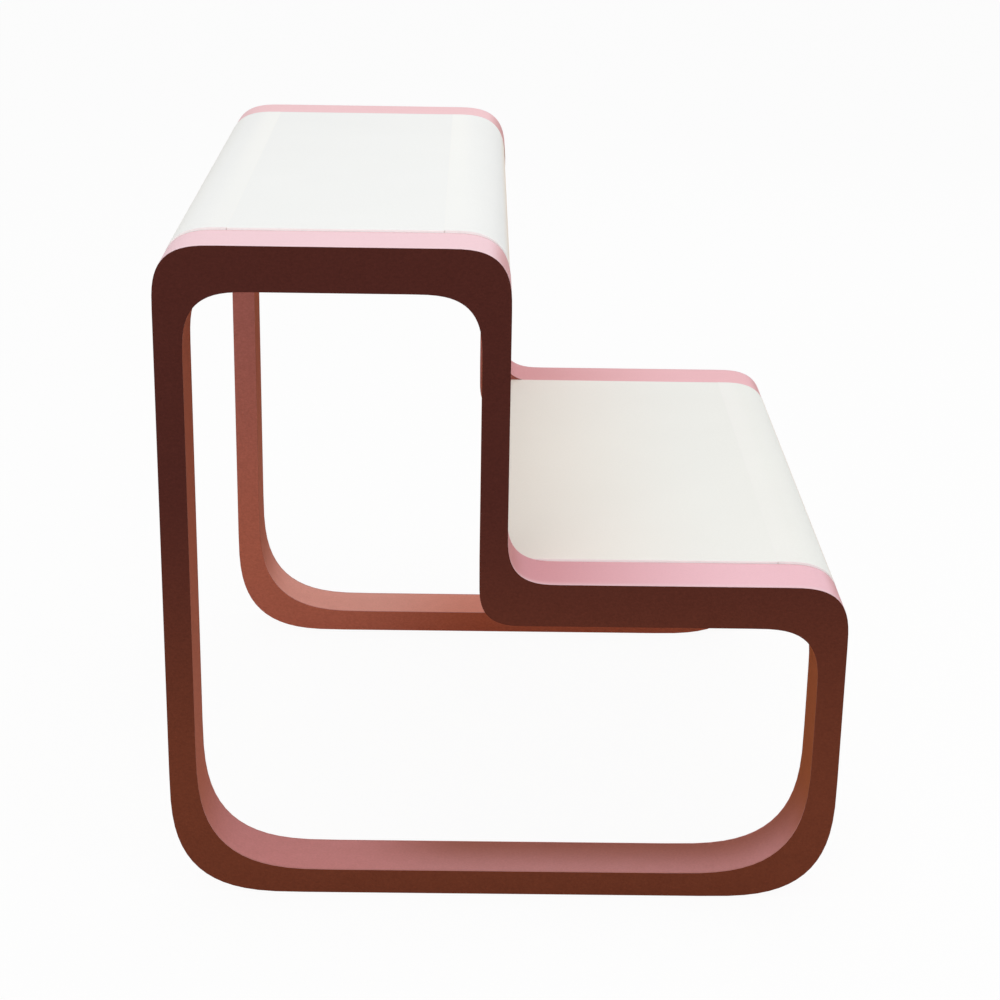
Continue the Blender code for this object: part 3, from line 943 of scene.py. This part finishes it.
def place_camera(stage):
    data = bpy.data.cameras.new("studio_camera")
    data.lens = stage.lens
    camera = bpy.data.objects.new("studio_camera", data)
    turn = Euler((math.pi / 2 - stage.camera_pitch, 0, -stage.camera_yaw), "XYZ").to_matrix()
    tilt = Matrix.Rotation(stage.camera_roll, 3, "Z")
    look = (turn @ tilt).to_quaternion()
    camera.matrix_world = Matrix.LocRotScale(stage.camera_place, look, None)
    bpy.context.scene.collection.objects.link(camera)
    bpy.context.scene.camera = camera


def place_lamp(name, power, sides, place):
    data = bpy.data.lights.new(name, "AREA")
    data.shape = "RECTANGLE"
    data.size, data.size_y = sides
    data.energy = power
    lamp = bpy.data.objects.new(name, data)
    look = (Vector(LAMP_TARGET) - Vector(place)).to_track_quat("-Z", "Y")
    lamp.matrix_world = Matrix.LocRotScale(place, look, None)
    lamp.visible_glossy = False
    bpy.context.scene.collection.objects.link(lamp)


def seen_directly(finish):
    """1 where the camera, a mirror or glass sees a surface, 0 where it only sends light."""
    kinds = ("Is Camera Ray", "Is Glossy Ray", "Is Transmission Ray")
    camera, glossy, through = (finish.node("ShaderNodeLightPath", output=kind) for kind in kinds)
    return finish.ramp(camera + glossy + through, 0, 1)


def floor_finish(stage):
    """Pale floor that looks white to the camera and keeps a soft shadow."""
    finish = new_finish("pale_floor")
    cloud = finish.noise(finish.place(), FLOOR_CLOUD_SCALE)
    colour = finish.mix(FLOOR_CLOUD * cloud, stage.floor, deeper(stage.floor, share=0.97))
    matt = finish.node("ShaderNodeBsdfDiffuse", sockets={"Color": colour})
    white = finish.node("ShaderNodeEmission", sockets={"Color": WHITE, "Strength": 1.0})
    share = stage.floor_white * seen_directly(finish)
    shader = finish.node("ShaderNodeMixShader", sockets={0: share, 1: matt, 2: white})
    finish.node("ShaderNodeOutputMaterial", sockets={"Surface": shader})
    return finish.owner


def light_room(stage):
    """A white room that lights the stand evenly."""
    world = bpy.data.worlds.new("studio_room")
    bpy.context.scene.world = world
    room = Finish(world)
    seen = seen_directly(room)
    strength = seen + stage.sky * (1 - seen)
    light = room.node("ShaderNodeBackground", sockets={"Color": WHITE, "Strength": strength})
    room.node("ShaderNodeOutputWorld", sockets={"Surface": light})


class STAND_OT_stage(Operator):
    """Makes the floor, the lamps and the camera"""

    bl_idname = "stand.stage"
    bl_label = "Make Studio"

    def execute(self, context):
        stage = context.scene.stand_stage
        mesh = bpy.data.meshes.new("studio_floor")
        ground = bmesh.new()
        bmesh.ops.create_grid(
            ground, x_segments=FLOOR_TILES, y_segments=FLOOR_TILES, size=stage.floor_size / 2
        )
        ground.to_mesh(mesh)
        ground.free()
        floor = bpy.data.objects.new("studio_floor", mesh)
        context.scene.collection.objects.link(floor)
        wear(floor, floor_finish(stage))
        for name, power, sides, place in LAMPS:
            place_lamp(name, getattr(stage, power), sides, place)
        light_room(stage)
        place_camera(stage)
        context.scene.view_settings.view_transform = "Standard"
        return {"FINISHED"}


class STAND_PT_panel(Panel):
    """Lists the settings of the stand and the steps that dress it"""

    bl_idname = "STAND_PT_panel"
    bl_label = "Display Stand"
    bl_space_type = "VIEW_3D"
    bl_region_type = "UI"
    bl_category = "Display Stand"

    def draw(self, context):
        for settings in GROUPS:
            group = getattr(context.scene, settings)
            column = self.layout.column(align=True)
            for name in group.__annotations__:
                column.prop(group, name)
        for operator in OPERATORS:
            self.layout.operator(operator.bl_idname)


OPERATORS = (
    STAND_OT_face_sheets,
    STAND_OT_edge_bands,
    STAND_OT_decks,
    STAND_OT_seams,
    STAND_OT_core,
    STAND_OT_carcass,
    STAND_OT_dowels,
    STAND_OT_pins,
    STAND_OT_glides,
    STAND_OT_stage,
)
GROUPS = {
    "stand_finishes": StandFinishes,
    "stand_details": StandDetails,
    "stand_stage": StandStage,
}


def register():
    for cls in (*GROUPS.values(), *OPERATORS, STAND_PT_panel):
        bpy.utils.register_class(cls)
    for name, group in GROUPS.items():
        setattr(bpy.types.Scene, name, PointerProperty(type=group))


def unregister():
    for name in GROUPS:
        delattr(bpy.types.Scene, name)
    for cls in (STAND_PT_panel, *reversed(OPERATORS), *reversed(GROUPS.values())):
        bpy.utils.unregister_class(cls)


def main():
    register()
    bpy.ops.stand.face_sheets()
    bpy.ops.stand.edge_bands()
    bpy.ops.stand.decks()
    bpy.ops.stand.seams()
    bpy.ops.stand.core()
    bpy.ops.stand.carcass()
    bpy.ops.stand.dowels()
    bpy.ops.stand.pins()
    bpy.ops.stand.glides()
    bpy.ops.stand.stage()


if __name__ == "__main__":
    main()
